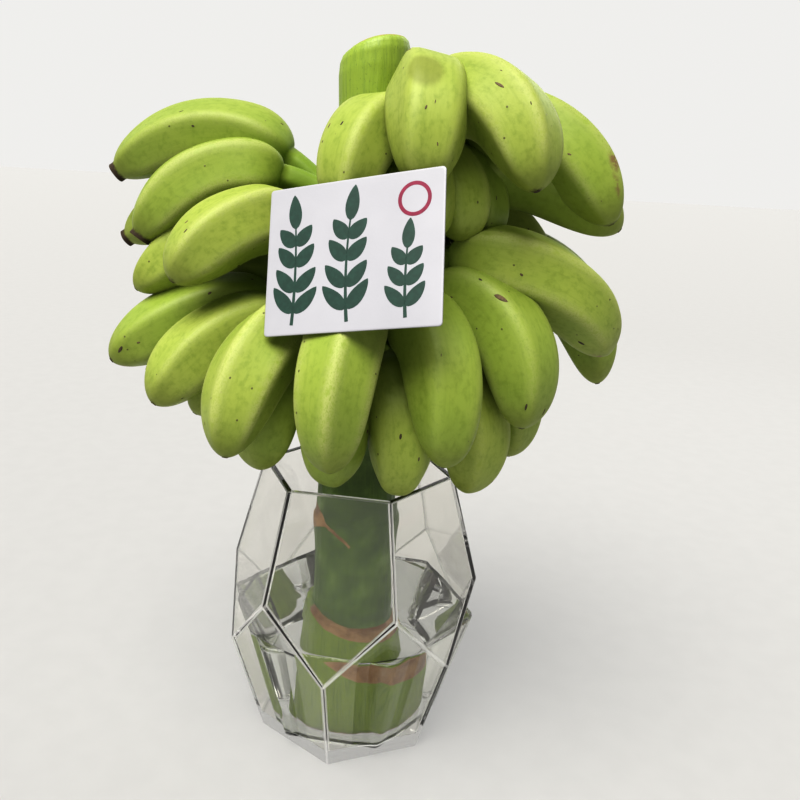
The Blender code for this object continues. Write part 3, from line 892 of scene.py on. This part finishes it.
# The card: rings that follow a rounded rectangle. Directions round the middle are stretched to the
# rectangle, and what passes the centre of a corner's arc is cut to the arc's radius. The rings shrink
# to the middle on both faces.
def addCard():
    s = cardShape
    turn = np.linspace(0, 2 * np.pi, 160, endpoint=False) + np.pi / 160
    direction = np.stack([np.sign(np.cos(turn)) * np.abs(np.cos(turn)) ** 0.18,
                          np.sign(np.sin(turn)) * np.abs(np.sin(turn)) ** 0.18], -1)
    direction /= np.max(np.abs(direction), -1, keepdims=True)
    half = np.array([s["width"], s["height"]]) / 2
    inner = half - s["corner"]
    square = np.clip(direction, -1, 1) * half
    over = square - np.clip(square, -inner, inner)
    reach = np.linalg.norm(over, axis=-1, keepdims=True)
    outline = np.clip(square, -inner, inner) + over * np.minimum(1, s["corner"] / np.maximum(reach, 1e-9))
    thick = s["thickness"] / 2
    rows = [(0.04, -1), (0.3, -1), (0.6, -1), (0.85, -1), (0.975, -1), (0.994, -0.97), (1.0, -0.7),
            (1.0, 0.7), (0.994, 0.97), (0.975, 1), (0.85, 1), (0.6, 1), (0.3, 1), (0.04, 1)]
    grid = np.stack([np.stack([outline[:, 0] * share, 0 * turn + depth * thick, outline[:, 1] * share], -1)
                     for share, depth in rows])
    points, quads, fans = closedSkin(grid, np.array([0, -thick, 0]), np.array([0, thick, 0]))
    card = addObject("leafCard", onCard(points), [quads, fans])
    material, tree, shader = newMaterial("white card", s["colour"], 0.4)
    fibre = noise(tree, objectPlace(tree), 900, 4)
    cloudy = noise(tree, objectPlace(tree), 30, 3)
    tone = mixColour(tree, ramp(tree, cloudy, 0.35, 0.7), s["lighter"], s["darker"])
    tree.links.new(tone, shader.inputs["Base Color"])
    tree.links.new(bump(tree, fibre, 0.05 * mm, 0.4), shader.inputs["Normal"])
    finish(card, "card", material)


# Printed sprigs: where the stem starts, across and up from the card's middle, its direction in
# degrees from level, length, bend in degrees, pairs of leaves, and the leaves' length and width.
printShape = dict(
    sprigs=[((-26, -27), 86, 40, 8, 4, 14.5, 5.8), ((-1, -27), 96, 41, -12, 4, 14.5, 5.8),
            ((24, -27), 94, 27, -8, 3, 12, 5.0)],
    stemWidth=1.5, stemRows=24, leafAngle=52, rows=15, sink=0.03 * mm, rise=0.07 * mm,
    ring=((26.5, 19.5), 6.2, 1.5), ink=(0.014, 0.046, 0.034), ringInk=(0.20, 0.010, 0.045),
)


# A print's stroke: a closed flat skin along a line that bends evenly, with one half width given for
# each step. It stands a little proud of the card's front and is sunk a little into it.
def strokeSkin(start, direction, length, bend, halfWidths):
    s = printShape
    share = np.linspace(0, 1, len(halfWidths))
    bearing = np.radians(direction + bend * share)
    step = length / (len(share) - 1)
    walk = np.stack([np.cos(bearing), np.sin(bearing)], -1)
    line = np.array(start) + np.concatenate([[[0, 0]], np.cumsum((walk[1:] + walk[:-1]) / 2, 0)]) * step
    sideways = np.stack([-walk[:, 1], walk[:, 0]], -1)
    across = np.array([-1, -1, 1, 1])
    level = np.array([s["sink"], -s["rise"], -s["rise"], s["sink"]]) - cardShape["thickness"] / 2
    flat = line[:, None] + (np.asarray(halfWidths)[:, None] * across)[..., None] * sideways[:, None]
    grid = np.stack([flat[..., 0] * mm, level + 0 * flat[..., 0], flat[..., 1] * mm], -1)
    return closedSkin(grid, grid[0].mean(0), grid[-1].mean(0)), line[-1], np.degrees(bearing), line


# A sprig: a stem, a leaf at its tip and pairs of leaves along it. A leaf's half width is a power of
# the sine of a power of the share of its length.
def sprigSkins(start, direction, length, bend, pairs, leafLength, leafWidth):
    s = printShape
    stemWidths = np.linspace(1, 0.45, s["stemRows"]) * s["stemWidth"] / 2
    stem, tip, turned, line = strokeSkin(start, direction, length, bend, stemWidths)
    along = np.linspace(0, 1, s["rows"])
    leaf = leafWidth / 2 * np.sin(np.pi * along ** 0.8) ** 0.75 + 0.12
    skins = [stem, strokeSkin(tip, turned[-1], leafLength, bend / 4, leaf)[0]]
    for k in range(pairs):
        place = int((k + 0.6) / (pairs + 0.2) * (len(line) - 1))
        for side in (-1, 1):
            size = leafLength * (1 - 0.35 * k / pairs)
            toward = turned[place] + side * s["leafAngle"]
            skins.append(strokeSkin(line[place], toward, size, -side * 16, leaf)[0])
    return skins


def inkMaterial(name, colour):
    material, tree, shader = newMaterial(name, colour, 0.45)
    worn = noise(tree, objectPlace(tree), 500, 4)
    lighter = tuple(1.35 * c for c in colour)
    tone = mixColour(tree, ramp(tree, worn, 0.35, 0.75), colour, lighter)
    tree.links.new(tone, shader.inputs["Base Color"])
    return material


# The print: the sprigs, and a ring that is a flat loop of four points carried round a circle.
def addPrint():
    s = printShape
    leaves = sum((sprigSkins(*sprig) for sprig in s["sprigs"]), [])
    placed = [(onCard(points), quads, fans) for points, quads, fans in leaves]
    sprigs = joinSkins("cardSprigs", placed, smooth=False)
    finish(sprigs, "card", inkMaterial("dark green ink", s["ink"]))
    middle, radius, width = s["ring"]
    turn = np.linspace(0, 2 * np.pi, 96, endpoint=False)[:, None]
    out = radius + width / 2 * np.array([-1, -1, 1, 1])
    level = np.array([s["sink"], -s["rise"], -s["rise"], s["sink"]]) - cardShape["thickness"] / 2
    grid = np.stack([(middle[0] + out * np.cos(turn)) * mm, level + 0 * turn,
                     (middle[1] + out * np.sin(turn)) * mm], -1)
    row, column = np.indices(grid.shape[:2])
    nextRow, nextColumn = (row + 1) % grid.shape[0], (column + 1) % 4
    quads = np.stack([row * 4 + column, nextRow * 4 + column,
                      nextRow * 4 + nextColumn, row * 4 + nextColumn], -1)
    ring = addObject("cardRing", onCard(grid.reshape(-1, 3)), [quads.reshape(-1, 4)], smooth=False)
    finish(ring, "card", inkMaterial("crimson ink", s["ringInk"]))


addCard()
addPrint()
print("card and its print made")
